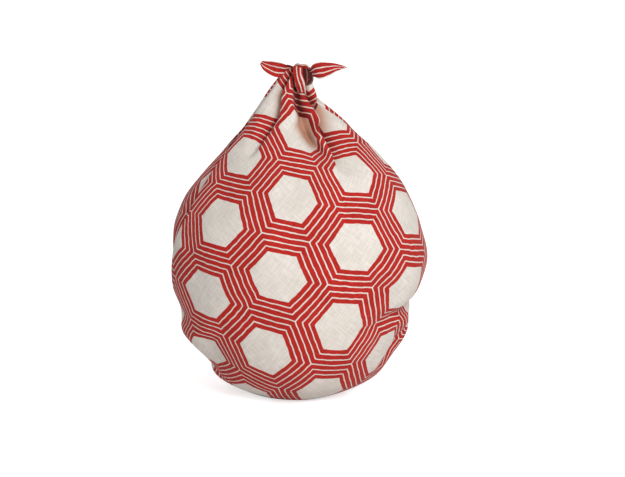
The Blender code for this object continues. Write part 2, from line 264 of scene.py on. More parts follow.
# %% Gathers and small unevenness
GATHER_FOOT = 236.0
GATHER_SHARE = 0.05  # of the radius
GATHER_MOST = 1.5
DRIFT = 5.0  # radians that the gathers wander to the side
DRIFT_ROUND, DRIFT_HEIGHT = 2.2, 70.0  # how soon that changes round the neck, and up it
Gather = namedtuple("Gather", "count lean phase share")
GATHERS = [Gather(11, 0.35, 20, 0.45), Gather(17, -0.5, 130, 0.35), Gather(27, 0.2, 250, 0.2)]
Unevenness = namedtuple("Unevenness", "spacing depth")
UNEVENNESS = [Unevenness(58, 1.6), Unevenness(26, 0.5)]


def gather_depth(angle, height, radius):
    """The fine gathers in the neck."""
    strength = smooth(height, GATHER_FOOT, NECK_HEIGHT)
    if strength == 0.0:
        return 0.0
    turn = math.radians(angle)
    place = Vector((DRIFT_ROUND * math.sin(turn), DRIFT_ROUND * math.cos(turn), height / DRIFT_HEIGHT))
    drift = noise.noise(place)
    wave = sum(
        gather.share
        * math.cos(gather.count * turn + math.radians(gather.lean * height + gather.phase) + DRIFT * drift)
        for gather in GATHERS
    )
    return strength * min(GATHER_SHARE * radius, GATHER_MOST) * (wave + drift)


def uneven_depth(x, y, height):
    """Slow, soft unevenness of hand-folded cloth over its filling."""
    point = Vector((x, y, height))
    depth = sum(row.depth * noise.noise(point / row.spacing) for row in UNEVENNESS)
    return depth * smooth(height, FOOT_FLAT, FOOT_FREE) * (1 - smooth(height, GATHER_FOOT, NECK_HEIGHT))


LEAST_SHARE = 0.08  # of the radius, so that no fold crosses the middle


def on_bundle(section, angle, outward, hidden=0.0):
    """A point of the cloth at this level and angle, moved outward from the outline.

    Hidden is 0 for the layer that shows, and up to 1 for the innermost layer under it.
    """
    x, y = outline_point(section, angle)
    radius = math.hypot(x, y)
    pressed, drawn = folds_at(angle, section.height, radius, hidden)
    pressed += crease_depth(angle, section.height, radius)
    pressed += gather_depth(angle, section.height, radius)
    pressed += uneven_depth(x, y, section.height)
    share = max(LEAST_SHARE, (radius - pressed + outward) / radius)
    x, y = outline_point(section, angle + math.degrees(drawn / radius))
    return Vector((x * share, y * share, section.height))


print("the deepest fold presses the cloth in by up to", max(fold.depth for fold in FOLDS), "mm")

# %% [markdown]
# ## Pleats
#
# Where a flap goes under a tongue the cloth is folded back and forth: the tongue's edge turns under, runs
# back below it, turns again and comes out as the flap. So three layers lie there. On the foot such a pleat
# lies open; further up it has turned right round. The same turning bend gives every level: two arcs with a
# straight middle between them.

# %% Where the pleats run
PleatEdges = namedtuple("PleatEdges", "height front_left front_right back_right back_left")
PLEATS = [
    PleatEdges(0.0, -76, 84, 120, -110),
    PleatEdges(60.0, -70, 92, 130, -112),
    PleatEdges(122.0, -76, 99, 134, -116),
    PleatEdges(188.0, -62, 93, 130, -112),
    PleatEdges(LIP_HEIGHT, -66, 82, 116, -110),
    PleatEdges(284.0, -82, 87, 97, -95),
    PleatEdges(NECK_HEIGHT, -86, 88, 95, -93),
]
PLEAT_BEND = 1.9  # the radius of a closed pleat's bends
PLEAT_TIGHTENS = 42.0  # where the cloth is drawn in more than this, a pleat's layers lie closer together
PLEAT_CLOSES = (20.0, 84.0)  # the heights between which a pleat turns right round
PleatDepth = namedtuple("PleatDepth", "height under")
PLEAT_DEPTHS = [
    PleatDepth(0.0, 2),
    PleatDepth(60.0, 14),
    PleatDepth(100.0, 66),
    PleatDepth(140.0, 118),
    PleatDepth(186.0, 118),
    PleatDepth(222.0, 78),
    PleatDepth(LIP_HEIGHT, 46),
    PleatDepth(268.0, 18),
    PleatDepth(284.0, 7),
    PleatDepth(NECK_HEIGHT, 4),
]
MOST_UNDER = 62.0  # degrees
CLEAR_OF_MIDDLE = 16.0  # a pleat ends this many degrees before the middle of its tongue
LEAST_TURN = 0.01
LEAST_UNDER = 0.5
LAYER_FLAT, LAYER_RAMP = 2.0, 24.0  # past the hidden layer the cloth stays raised, then comes down
MIDDLE_SHARE = 0.12  # nearer to its middle than this share of its half width, a tongue isn't raised
OPEN_RADIUS = 16.0  # nearer to the foot's middle than this the pleats run out


def table_value(table, name, height):
    """A named column of a table at a height, on a smooth curve through its rows."""
    level = sum(height >= row.height for row in table[1:-1])
    low, high = table[level].height, table[level + 1].height
    share = min(1.0, (height - low) / (high - low))
    return curve_value([getattr(row, name) for row in table], level + share)


def pleat_place(part, share, turned, under):
    """How far along and how far inward a place in a pleat is from the start of its outer bend."""
    bend_radius = math.pi * PLEAT_BEND / turned
    arc = turned * share
    along, inward = bend_radius * math.sin(arc), bend_radius * (1 - math.cos(arc))
    if part == "outer bend":
        return along, inward
    bend_along, bend_inward = bend_radius * math.sin(turned), bend_radius * (1 - math.cos(turned))
    if part == "under":
        return bend_along + share * under * math.cos(turned), bend_inward + share * under * math.sin(turned)
    back_along, back_inward = pleat_place("outer bend", 1 - share, turned, under)
    whole_along = 2 * bend_along + under * math.cos(turned)
    whole_inward = 2 * bend_inward + under * math.sin(turned)
    return whole_along - back_along, whole_inward - back_inward


for row in PLEATS[1:3]:
    print("at", row.height, "mm the front tongue is", row.front_right - row.front_left, "degrees wide")

# %% Columns of the cloth
Quarter = namedtuple("Quarter", "middle edge other_edge")
QUARTERS = [
    Quarter(180.0, "back_left", "front_left"),
    Quarter(0.0, "front_left", "back_left"),
    Quarter(0.0, "front_right", "back_right"),
    Quarter(180.0, "back_right", "front_right"),
]
STEPS = {"outer bend": 4, "under": 8, "inner bend": 3, "flap": 12}
TONGUE_STEPS = {0.0: 66, 180.0: 42}  # in each half of the front and the back tongue
LOOKS = 260  # points at which a level's folded length is measured
Column = namedtuple("Column", "quarter part share")


def quarter_columns(quarter):
    """A quarter's columns, from the middle of its tongue to that of its flap."""
    columns = [Column(quarter, "tongue", 0.0)]
    for part, steps in {"tongue": TONGUE_STEPS[quarter.middle], **STEPS}.items():
        columns += [Column(quarter, part, (k + 1) / steps) for k in range(steps)]
    return columns


def ring_columns():
    """The columns all the way round, from the middle of the back tongue to the same place."""
    ring = []
    for i, quarter in enumerate(QUARTERS):
        columns = quarter_columns(quarter)
        ring += (columns if i % 2 == 0 else columns[::-1])[1 if ring else 0 :]
    return ring


@functools.cache
def tongue_angles(middle, section):
    """Angles from a tongue's left edge to its right one, evenly spaced along the folded cloth."""
    side = "front" if middle == 0.0 else "back"
    left, right = (table_value(PLEATS, f"{side}_{hand}", section.height) for hand in ("left", "right"))
    start = middle + turn_between(middle, left)
    whole = turn_between(middle, right) - turn_between(middle, left)
    angles = [start + whole * k / LOOKS for k in range(LOOKS + 1)]
    points = [on_bundle(section, angle, 0.0) for angle in angles]
    lengths = [0.0]
    for a, b in zip(points, points[1:]):
        lengths.append(lengths[-1] + (b - a).length)
    return angles, lengths


def tongue_angle(quarter, section, share):
    """The angle at a share of the way from a tongue's middle to this quarter's edge, along the cloth."""
    angles, lengths = tongue_angles(quarter.middle, section)
    toward_end = 0.5 if quarter.edge.endswith("right") else -0.5
    want = lengths[-1] * (0.5 + toward_end * share)
    k = min(bisect.bisect_right(lengths, want), LOOKS)
    part = (want - lengths[k - 1]) / (lengths[k] - lengths[k - 1])
    return angles[k - 1] + (angles[k] - angles[k - 1]) * part


def flap_half(quarter, height):
    """The turn from a pleat's edge to the middle of its flap."""
    edge = table_value(PLEATS, quarter.edge, height)
    return turn_between(edge, table_value(PLEATS, quarter.other_edge, height)) / 2


def column_place(column, section):
    """The angle of a column at this level, its outward offset, and how far it is hidden."""
    quarter, height = column.quarter, section.height
    edge = table_value(PLEATS, quarter.edge, height)
    to_middle = flap_half(quarter, height)
    radius = math.hypot(*outline_point(section, edge))
    degree = math.radians(1) * max(radius, OPEN_RADIUS)
    toward_flap = math.copysign(1, to_middle)
    turned = max(LEAST_TURN, math.pi * smooth(height, *PLEAT_CLOSES))
    most = min(MOST_UNDER, abs(turn_between(quarter.middle, edge)) - CLEAR_OF_MIDDLE)
    under = max(LEAST_UNDER, min(table_value(PLEAT_DEPTHS, "under", height), math.radians(most) * radius))
    end_along, end_inward = pleat_place("inner bend", 1.0, turned, under)
    begin_along = -max(0.0, end_along) / 2
    apart = min(1.0, radius / PLEAT_TIGHTENS)
    half = end_inward / 2 * apart
    if column.part == "tongue":
        angle = tongue_angle(quarter, section, column.share)
        angle += column.share * toward_flap * begin_along / degree
        to_edge = abs(turn_between(angle, edge)) * degree
        rise = 1 - smooth(to_edge, under + LAYER_FLAT, under + LAYER_FLAT + LAYER_RAMP)
        rise *= smooth(column.share, 0.0, MIDDLE_SHARE)
        return angle, half * rise, 0.0
    if column.part == "flap":
        start = toward_flap * (begin_along + end_along) / degree
        turn = start + column.share * (to_middle - start)
        from_edge = abs(turn - start) * degree
        rise = 1 - smooth(from_edge, under + LAYER_FLAT, under + LAYER_FLAT + LAYER_RAMP)
        return edge + turn, -half * rise, rise
    along, inward = pleat_place(column.part, column.share, turned, under)
    angle = edge + toward_flap * (begin_along + along) / degree
    return angle, half - inward * apart, inward / end_inward


ring = ring_columns()
print(len(ring), "columns go round the cloth")

# %% [markdown]
# ## Tucked corners
#
# A side corner of the square goes over the flap's lip and hangs down inside, where it narrows to its point.
# It doesn't show, but it is real cloth, so it is modelled.

# %% Tucked corners
LIP_BEND = 2.2  # the radius of the lip
TUCK_LENGTH = 200.0
TUCK_TIP = 0.15  # the share of its width left at the lowest end


def is_tucked(column):
    """Whether a column goes over the lip, and not up into the knot."""
    return column.part == "flap" or (column.part == "inner bend" and column.share == 1.0)


def tucked_point(column, section, tuck):
    """A flap's point that has gone this far over its lip and down the inside."""
    angle, outward, hidden = column_place(column, section)
    flap_middle = table_value(PLEATS, column.quarter.edge, section.height)
    flap_middle += flap_half(column.quarter, section.height)
    over = min(tuck / LIP_BEND, math.pi)
    hang = max(0.0, tuck - math.pi * LIP_BEND)
    angle += turn_between(angle, flap_middle) * (1 - TUCK_TIP) * hang / TUCK_LENGTH
    outward -= LIP_BEND * (1 - math.cos(over))
    down = LIP_BEND * (math.sin(over) - 1) - hang
    return on_bundle(section, angle, outward, hidden) + Vector((0, 0, down))


print("each tucked corner hangs", TUCK_LENGTH, "mm down inside")

# %% [markdown]
# ## The sheet
#
# The mesh starts as what the real thing is: a flat grid, with a column for each line that runs up the cloth
# and a row for each level. Every point is then carried to its place on the bundle. The faces between a
# tongue and its flap are deleted above the lip, because the cloth's edges part there. Each point also keeps
# how deep it lies in a fold, and the colour uses this as painted shade: the cloth is painted warmer and
# darker there, in place of light that reaches such a place only after bouncing between red and cream cloth.

# %% Rows of the cloth
RowSpacing = namedtuple("RowSpacing", "height spacing")
ROW_SPACINGS = [
    RowSpacing(0, 5.2),
    RowSpacing(60, 5.0),
    RowSpacing(150, 4.2),
    RowSpacing(240, 2.8),
    RowSpacing(TOP_HEIGHT, 2.0),
]
LIP_ROWS = 5
LENGTH_STEPS = 24


def row_places():
    """Places along the outline's table, evenly spaced along the cloth, with one of them on the lip."""
    places = [0.0]
    for i in range(len(SECTIONS) - 1):
        sections = [section_at(i + k / LENGTH_STEPS) for k in range(LENGTH_STEPS + 1)]
        side = [(section.height, section.left) for section in sections]
        length = sum(math.dist(a, b) for a, b in zip(side, side[1:]))
        count = max(1, round(length / table_value(ROW_SPACINGS, "spacing", SECTIONS[i].height)))
        places += [i + (k + 1) / count for k in range(count)]
    return places


places = row_places()
lip = min(range(len(places)), key=lambda i: abs(section_at(places[i]).height - LIP_HEIGHT))
print(len(places), "rows go up the cloth, and row", lip, "is the lip")

# %% Bend the grid into the wrap
# the attribute that holds how much shade is painted into the cloth's colour
PAINTED_SHADE = "painted fold shade"


def cloth_point(column, row):
    """Where the crossing of a column and a row lies."""
    section = section_at(places[row])
    if is_tucked(column) and row > lip:
        last = len(places) - 1
        half_turn = math.pi * LIP_BEND
        step = row - lip
        over = half_turn * min(step, LIP_ROWS) / LIP_ROWS
        hang = TUCK_LENGTH * max(0, step - LIP_ROWS) / (last - lip - LIP_ROWS)
        return tucked_point(column, section_at(places[lip]), over + hang)
    return on_bundle(section, *column_place(column, section))


def bundle_mesh():
    """The grid, bent round the bundle and cut where the cloth's edges part."""
    bm = bmesh.new()
    shade = bm.verts.layers.float.new(PAINTED_SHADE)
    across, up = len(ring) - 1, len(places) - 1
    bmesh.ops.create_grid(bm, x_segments=across, y_segments=up, size=0.5)
    at = {v: (round((v.co.x + 0.5) * across), round((v.co.y + 0.5) * up)) for v in bm.verts}
    cut = []
    for face in bm.faces:
        columns = {at[v][0] for v in face.verts}
        over_lip = max(at[v][1] for v in face.verts) > lip
        tucked = {is_tucked(ring[c]) for c in columns}
        turning = any(ring[c].part == "inner bend" for c in columns)
        if over_lip and (len(tucked) > 1 or (turning and tucked == {False})):
            cut.append(face)
    for v, (column, row) in at.items():
        v.co = cloth_point(ring[column], row) * MM
        # tongue points keep the shade that is painted on them deep in a fold
        if ring[column].part == "tongue":
            section = section_at(places[row])
            v[shade] = painted_fold_shade(section, column_place(ring[column], section)[0])
    bmesh.ops.delete(bm, geom=cut, context="FACES")
    return bm, at


bundle, at = bundle_mesh()
print(len(bundle.faces), "faces in the bent grid")

# %% [markdown]
# ## Lay the flat cloth over it
#
# The print and the weave follow the flat cloth, so every corner of every face needs its place on it. The
# unwrap with the least stretch finds these places. It needs a cut where the cloth can't lie flat, and those
# cuts are hidden in the pleats. Afterwards the map is turned, moved and scaled, so that it is in metres, its
# zero is the middle of the cloth, and the front corner points straight up.

# %% Close the ring and mark the cuts
FLAT = "flat cloth"
CUT_FROM = 34.0  # the lowest height of the cuts
WELD = 1e-6


def weld_bundle(bm, at):
    """Closes the ring up the back and the middle of the foot."""
    last = len(ring) - 1
    doubles = [v for v, (column, row) in at.items() if v.is_valid and column in (0, last)]
    bmesh.ops.remove_doubles(bm, verts=doubles, dist=WELD)
    foot = [v for v in bm.verts if v.co.xy.length < 2 * LEAST_REACH * MM and v.co.z < MM]
    bmesh.ops.pointmerge(bm, verts=foot, merge_co=Vector((0, 0, 0)))


def mark_cuts(bm, at):
    """Marks the edges in the pleats along which the flat cloth is cut open."""
    cuts = 0
    for edge in bm.edges:
        places_of = [at.get(v) for v in edge.verts]
        if None in places_of:
            continue
        (column, row), (other_column, other_row) = places_of
        part = ring[column]
        if column != other_column or part.part != "under" or part.share < 1.0:
            continue
        if section_at(places[min(row, other_row)]).height >= CUT_FROM:
            edge.seam = True
            cuts += 1
    return cuts


weld_bundle(bundle, at)
at = {v: place for v, place in at.items() if v.is_valid}
print(mark_cuts(bundle, at), "edges are cut for the flat map")

# %% Unwrap with the least stretch
UNWRAP_ROUNDS = 12


def new_object(name, bm):
    """An object with the bmesh's faces."""
    mesh = bpy.data.meshes.new(name)
    bm.to_mesh(mesh)
    mesh.shade_smooth()
    obj = bpy.data.objects.new(name, mesh)
    bpy.context.scene.collection.objects.link(obj)
    return obj


def unwrap(obj):
    """A flat map of the whole surface."""
    obj.data.uv_layers.new(name=FLAT)
    bpy.ops.object.select_all(action="DESELECT")
    bpy.context.view_layer.objects.active = obj
    obj.select_set(True)
    bpy.ops.object.mode_set(mode="EDIT")
    bpy.ops.mesh.select_all(action="SELECT")
    bpy.ops.uv.unwrap(method="MINIMUM_STRETCH", iterations=UNWRAP_ROUNDS, fill_holes=False, margin=0)
    bpy.ops.object.mode_set(mode="OBJECT")
    obj.select_set(False)


cloth = new_object("furoshiki_cloth_sheet", bundle)
bundle.free()
unwrap(cloth)
print(len(cloth.data.vertices), "vertices unwrapped")

# %% Turn and scale the map
import numpy as np

MARK_HEIGHT = 150.0  # of two points that show how the map lies: one in front and one to its right
MARK_ANGLES = (0.0, 40.0)


def mesh_numbers(mesh):
    """The vertices' places, each face corner's vertex, and each face corner's place on the flat map."""
    points = np.zeros(len(mesh.vertices) * 3, np.float32)
    corners = np.zeros(len(mesh.loops), np.int32)
    flat = np.zeros(len(mesh.loops) * 2, np.float32)
    mesh.vertices.foreach_get("co", points)
    mesh.loops.foreach_get("vertex_index", corners)
    mesh.uv_layers[FLAT].uv.foreach_get("vector", flat)
    return points.reshape(-1, 3), corners, flat.reshape(-1, 2)


def two_sides(mesh, values):
    """The length of each face's first two sides together, measured in these values of its corners."""
    first = np.array([face.loop_start for face in mesh.polygons])
    return sum(np.linalg.norm(values[first + k + 1] - values[first + k], axis=1) for k in (0, 1))


def true_flat_map(mesh):
    """Scales the map to metres, with the middle of the cloth at zero and its front corner straight up."""
    points, corners, flat = mesh_numbers(mesh)
    flat *= np.median(two_sides(mesh, points[corners]) / two_sides(mesh, flat))
    section = section_near(MARK_HEIGHT)
    marks = [Vector((0, 0, 0))] + [on_bundle(section, angle, 0.0) * MM for angle in MARK_ANGLES]
    distances = (np.linalg.norm(points[corners] - np.array(mark), axis=1) for mark in marks)
    foot, front, right = (flat[distance.argmin()] for distance in distances)
    along = (front - foot) / np.linalg.norm(front - foot)
    aside = np.array((along[1], -along[0]))
    if np.dot(right - foot, aside) < 0:
        aside = -aside
    flat = (flat - foot) @ np.stack([aside, along], axis=1)
    mesh.uv_layers[FLAT].uv.foreach_set("vector", flat.astype(np.float32).ravel())
    return flat


def section_near(height):
    """The outline at the row nearest to a height."""
    return min((section_at(place) for place in places), key=lambda section: abs(section.height - height))


flat = true_flat_map(cloth.data)
print("the flat map reaches", np.round(flat.min(0), 3), "to", np.round(flat.max(0), 3), "m")

# %% [markdown]
# ## The knot and the ears
#
# The tied corners are ropes of gathered cloth that go round each other, and their free ends open out as two
# small leaves, each folded over along its top. A grid becomes a rope by rolling it round a curved line, with
# ridges for the gathers. A second grid becomes a leaf by folding it down both sides of its top line. All of
# them lie on red bands of the flat cloth, so those are found first.

# %% Where the red bands lie on the flat cloth
PITCH = 72 * MM
PRINT_TURN = math.radians(45)
PRINT_SHIFT = (-0.004, 0.006, 0.0)


def flat_on_band(across, along):
    """The flat cloth's place at this distance from the middle of a red band, in millimetres."""
    on_print = Vector((PITCH / 2 + across * MM, along * MM, 0)) - Vector(PRINT_SHIFT)
    return (Matrix.Rotation(-PRINT_TURN, 3, "Z") @ on_print).xy


print("a band's middle lies at", [round(x, 3) for x in flat_on_band(0, 0)], "m")

# %% Ropes of the knot
RopePlace = namedtuple("RopePlace", "x y z half_width half_depth")
ROPES = {
    "strap": [
        RopePlace(5.0, -8.0, 300.0, 3.2, 1.0),
        RopePlace(3.6, -11.8, 306.0, 4.2, 1.8),
        RopePlace(2.2, -15.0, 312.0, 4.7, 2.4),
        RopePlace(0.3, -14.2, 319.5, 4.3, 2.7),
        RopePlace(-0.2, -11.5, 325.0, 4.2, 2.8),
        RopePlace(0.8, -6.5, 327.0, 4.2, 2.6),
        RopePlace(2.5, -0.5, 327.2, 4.4, 2.6),
        RopePlace(4.6, 6.0, 324.0, 4.2, 2.4),
        RopePlace(5.5, 9.0, 316.0, 3.6, 1.6),
    ],
    "crown": [
        RopePlace(-3.6, -7.5, 326.6, 1.2, 1.2),
        RopePlace(0.2, -9.2, 328.6, 1.9, 1.7),
        RopePlace(4.0, -9.6, 328.2, 1.6, 1.5),
        RopePlace(7.6, -8.0, 327.8, 2.2, 2.0),
        RopePlace(11.0, -4.0, 324.4, 1.5, 1.3),
    ],
    "inner roll": [
        RopePlace(4.8, -3.5, 326.6, 1.8, 1.6),
        RopePlace(7.2, -9.2, 323.8, 2.6, 2.3),
        RopePlace(8.0, -11.8, 319.0, 2.6, 2.3),
        RopePlace(8.0, -12.6, 314.2, 2.4, 2.1),
        RopePlace(7.0, -11.2, 309.6, 1.3, 1.1),
    ],
    "outer roll": [
        RopePlace(8.4, -0.8, 326.0, 2.1, 1.9),
        RopePlace(11.2, -4.8, 323.2, 2.9, 2.5),
        RopePlace(12.2, -7.2, 318.8, 2.9, 2.5),
        RopePlace(12.0, -8.8, 314.4, 3.0, 2.6),
        RopePlace(8.8, -10.2, 310.8, 1.8, 1.5),
    ],
}
ROPE_GIRTH_ROW = 2  # the place whose width gives a rope its girth on the flat cloth
# painted shade on each rope: 1 as deep in a fold, above 1 the knot's hollow painted nearly black
ROPE_PAINTED_SHADES = {"strap": 0.0, "crown": 0.5, "inner roll": 1.6, "outer roll": 1.6}  # 1 is deep in a fold
ROPE_ROWS, ROPE_COLUMNS = 30, 32
Ridge = namedtuple("Ridge", "count share twist")
RIDGES = [Ridge(3, 0.12, 0.5), Ridge(5, 0.12, -0.6), Ridge(9, 0.06, 0.8)]
KNOT_MIDDLE = Vector((1.5, -0.5, 320.0))
LOOK = 0.03  # how far either way a direction is measured, as a share of the length
ROPE_SHOWS = 0.15  # the part in front lies this share of the length before the rope's middle


def on_curve(rows, share):
    """The row of values at a share of the way along a table."""
    place = min(max(share, 0.0), 1.0) * (len(rows) - 1)
    return type(rows[0])(*(curve_value(column, place) for column in zip(*rows)))


def direction(rows, share):
    """The way a table's curve runs at a share of its length."""
    return (Vector(on_curve(rows, share + LOOK)[:3]) - Vector(on_curve(rows, share - LOOK)[:3])).normalized()


def curve_length(rows):
    """The length of the straight lines between a table's places."""
    return sum(math.dist(a[:3], b[:3]) for a, b in zip(rows, rows[1:]))


def grid_piece(columns, rows, flat_place, painted_shade_place):
    """A flat grid whose points know their place on the flat cloth and how much shade is painted on them."""
    bm = bmesh.new()
    flat, shade = bm.loops.layers.uv.new(FLAT), bm.verts.layers.float.new(PAINTED_SHADE)
    bmesh.ops.create_grid(bm, x_segments=columns, y_segments=rows, size=0.5)
    for v in bm.verts:
        v[shade] = painted_shade_place(v.co.y + 0.5)
        for loop in v.link_loops:
            loop[flat].uv = flat_place(v.co.x, v.co.y)
    return bm


def rope_mesh(name):
    """A grid rolled into a rope of gathered cloth that follows its table of places."""
    rows = ROPES[name]
    girth, length = math.tau * rows[ROPE_GIRTH_ROW].half_width, curve_length(rows)
    bm = grid_piece(
        ROPE_COLUMNS,
        ROPE_ROWS,
        lambda x, y: flat_on_band(x * girth, (y + ROPE_SHOWS) * length),
        lambda share: ROPE_PAINTED_SHADES[name],
    )
    for v in bm.verts:
        around, share = -v.co.x * math.tau, v.co.y + 0.5
        here, along = on_curve(rows, share), direction(rows, share)
        out = Vector(here[:3]) - KNOT_MIDDLE
        out = (out - along * out.dot(along)).normalized()
        aside = along.cross(out)
        ridged = 1 + sum(
            ridge.share * math.cos(ridge.count * around + ridge.twist * share * math.tau) for ridge in RIDGES
        )
        across = aside * (math.sin(around) * here.half_width) + out * (math.cos(around) * here.half_depth)
        v.co = (Vector(here[:3]) + across * ridged) * MM
    bmesh.ops.remove_doubles(bm, verts=bm.verts, dist=WELD)
    bmesh.ops.reverse_faces(bm, faces=bm.faces)
    return bm


print(len(ROPES), "ropes make the knot:", ", ".join(ROPES))

# %% Ears
LeafPlace = namedtuple("LeafPlace", "x y z half_width curl")
LEAVES = {
    "left_ear": [
        LeafPlace(-4.5, -1.0, 324.5, 2.6, 0.0),
        LeafPlace(-8.5, -2.0, 324.6, 4.6, 0.3),
        LeafPlace(-12.6, -2.0, 323.8, 6.0, 1.2),
        LeafPlace(-18.4, -4.0, 324.6, 7.0, 2.2),
        LeafPlace(-24.3, -5.0, 326.5, 6.4, 2.6),
        LeafPlace(-30.2, -6.0, 328.8, 4.8, 2.0),
        LeafPlace(-34.0, -6.0, 331.0, 2.8, 0.9),
        LeafPlace(-35.4, -6.0, 332.0, 1.6, 0.4),
    ],
    "right_ear": [
        LeafPlace(4.0, 1.0, 320.6, 2.6, 0.0),
        LeafPlace(11.7, -5.0, 321.4, 3.2, -0.4),
        LeafPlace(17.4, -7.0, 323.3, 7.4, -2.0),
        LeafPlace(22.8, -7.5, 324.0, 8.0, -2.8),
        LeafPlace(29.2, -7.0, 325.0, 6.8, -2.6),
        LeafPlace(36.2, -6.0, 326.4, 4.5, -1.6),
        LeafPlace(43.0, -5.0, 326.9, 2.0, -0.6),
        LeafPlace(48.2, -4.0, 326.6, 0.5, 0.0),
    ],
}
LEAF_ROWS, LEAF_COLUMNS = 34, 32
FACING = Vector((0, -1, 0))
LEAF_GAP = 1.3
LEAF_OPENS = 3.2  # how soon the two layers part below the top line
TIP_CLOSES = (0.7, 1.0)
# painted shade at each ear's root, where it goes into the knot
EAR_ROOT_PAINTED_SHADE = 0.45  # the share of an ear that lies in the knot's shade
LEAF_BACK_SHORT = 0.14  # the back layer ends a little above the front one
LEAF_GATHERS, LEAF_GATHER_DEPTH, LEAF_GATHER_TURN = 2.5, 1.1, 2.0
LEAF_GATHERS_FADE = (0.1, 0.8)


def leaf_mesh(rows):
    """A grid folded over along the leaf's top line."""
    width, length = 2 * max(row.half_width for row in rows), curve_length(rows)
    bm = grid_piece(
        LEAF_COLUMNS,
        LEAF_ROWS,
        lambda x, y: flat_on_band(2 * x * width, y * length),
        lambda share: 1 - smooth(share, 0.0, EAR_ROOT_PAINTED_SHADE),
    )
    for v in bm.verts:
        side, share = v.co.x * 2, v.co.y + 0.5
        here, along = on_curve(rows, share), direction(rows, share)
        upward = FACING.cross(along).normalized()
        upward *= math.copysign(1, upward.z)
        toward_front = math.copysign(1, along.x)
        down = abs(side) * (1 - LEAF_BACK_SHORT * (side * toward_front > 0))
        level = 1 - 2 * down
        gap = LEAF_GAP * math.sin(math.pi / 2 * min(1.0, LEAF_OPENS * abs(side)))
        gap *= 1 - smooth(share, *TIP_CLOSES)
        gather = math.cos(math.tau * LEAF_GATHERS * abs(side) + LEAF_GATHER_TURN * share)
        gather *= 1 - smooth(share, *LEAF_GATHERS_FADE)
        forward = here.curl * (level**2 - 0.5) - toward_front * math.copysign(gap, side)
        forward += LEAF_GATHER_DEPTH * gather
        v.co = (Vector(here[:3]) + upward * (level * here.half_width) + FACING * forward) * MM
    bmesh.ops.reverse_faces(bm, faces=bm.faces)
    return bm


print("ears:", ", ".join(LEAVES))

# %% Join them to the sheet
def join(bm, piece):
    """Adds a piece's faces to the sheet's."""
    mesh = bpy.data.meshes.new("piece")
    piece.to_mesh(mesh)
    piece.free()
    bm.from_mesh(mesh)
    bpy.data.meshes.remove(mesh)


TOP_ROUND = 0.5  # everything this near to the top is merged there

bm = bmesh.new()
bm.from_mesh(cloth.data)
top = [v for v in bm.verts if v.co.z > (TOP_HEIGHT - TOP_ROUND) * MM]
bmesh.ops.pointmerge(bm, verts=top, merge_co=Vector((0, 0, TOP_HEIGHT * MM)))
for name in ROPES:
    join(bm, rope_mesh(name))
for rows in LEAVES.values():
    join(bm, leaf_mesh(rows))
print(len(bm.faces), "faces with the knot and the ears")

# %% [markdown]
# ## Thickness, hems and the reverse
#
# The cotton is about half a millimetre thick. Its four edges are rolled into narrow hems, which are about
# three times as thick. A Solidify modifier gives both: it reads how thick the cloth is from a vertex group,
# and it gives the inner side a second material, because a print is duller on its reverse.

# %% Hems
CLOTH_THICKNESS = 0.5
HEM_THICKNESS = 1.3
HEM = "hem"

deform = bm.verts.layers.deform.verify()
edge_verts = {v for v in bm.verts if v.is_boundary}
for v in bm.verts:
    v[deform][0] = 1.0 if v in edge_verts else 0.0
print(len(edge_verts), "vertices lie on the cloth's edges")
bm.to_mesh(cloth.data)
bm.free()
cloth.vertex_groups.new(name=HEM)


def give_thickness(obj):
    """Thickens the sheet inward, more at its hems."""
    solidify = obj.modifiers.new("thickness", "SOLIDIFY")
    solidify.thickness = HEM_THICKNESS * MM
    solidify.offset = -1.0
    solidify.vertex_group = HEM
    solidify.thickness_vertex_group = CLOTH_THICKNESS / HEM_THICKNESS
    solidify.material_offset = 1
    solidify.material_offset_rim = 0


give_thickness(cloth)
print("the cloth is", CLOTH_THICKNESS, "mm thick and its hems", HEM_THICKNESS, "mm")

# %% [markdown]
# ## Print
#
# The print is the traditional tortoiseshell pattern: hexagons side by side, here cream with red bands
# between them and thin cream lines that follow each hexagon's outline. The distance to the nearest hexagon's
# middle, measured across its flat sides, gives all of it: each outline is one value of that distance. A
# little noise makes the edges look cut and printed by hand.

# %% Node helpers
def group(name, inputs, outputs):
    """A new shader node group with these sockets, and its input and output nodes."""
    tree = bpy.data.node_groups.new(name, "ShaderNodeTree")
    for way, sockets in (("INPUT", inputs), ("OUTPUT", outputs)):
        for socket, kind in sockets.items():
            tree.interface.new_socket(socket, in_out=way, socket_type=f"NodeSocket{kind}")
    return tree, tree.nodes.new("NodeGroupInput").outputs, tree.nodes.new("NodeGroupOutput").inputs


def math_node(tree, operation, *values):
    """A Math node's result. Each value is a number or another node's output."""
    node = tree.nodes.new("ShaderNodeMath")
    node.operation = operation
    for socket, value in zip(node.inputs, values):
        feed(tree, socket, value)
    return node.outputs[0]


def vector_node(tree, operation, *values):
    """A Vector Math node's result: a number from LENGTH and DOT_PRODUCT, and otherwise a vector."""
    node = tree.nodes.new("ShaderNodeVectorMath")
    node.operation = operation
    for socket, value in zip(node.inputs, values):
        feed(tree, socket, value)
    return node.outputs[1 if operation in ("LENGTH", "DOT_PRODUCT") else 0]


def feed(tree, socket, value):
    """Sets a socket to a number or vector, or links an output to it."""
    if isinstance(value, bpy.types.NodeSocket):
        tree.links.new(value, socket)
    else:
        socket.default_value = value


def ramp(tree, value, low, high, to_low=0.0, to_high=1.0):
    """A value read between two limits as a smooth step from one result to another."""
    node = tree.nodes.new("ShaderNodeMapRange")
    node.interpolation_type = "SMOOTHSTEP"
    names = ("Value", "From Min", "From Max", "To Min", "To Max")
    for name, given in zip(names, (value, low, high, to_low, to_high)):
        feed(tree, node.inputs[name], given)
    return node.outputs["Result"]


def noise_node(tree, vector, spacing, detail):
    """A noise texture with this spacing in metres: its value and its colour."""
    node = tree.nodes.new("ShaderNodeTexNoise")
    feed(tree, node.inputs["Vector"], vector)
    node.inputs["Scale"].default_value = 1 / spacing
    node.inputs["Detail"].default_value = detail
    return node.outputs["Fac"], node.outputs["Color"]


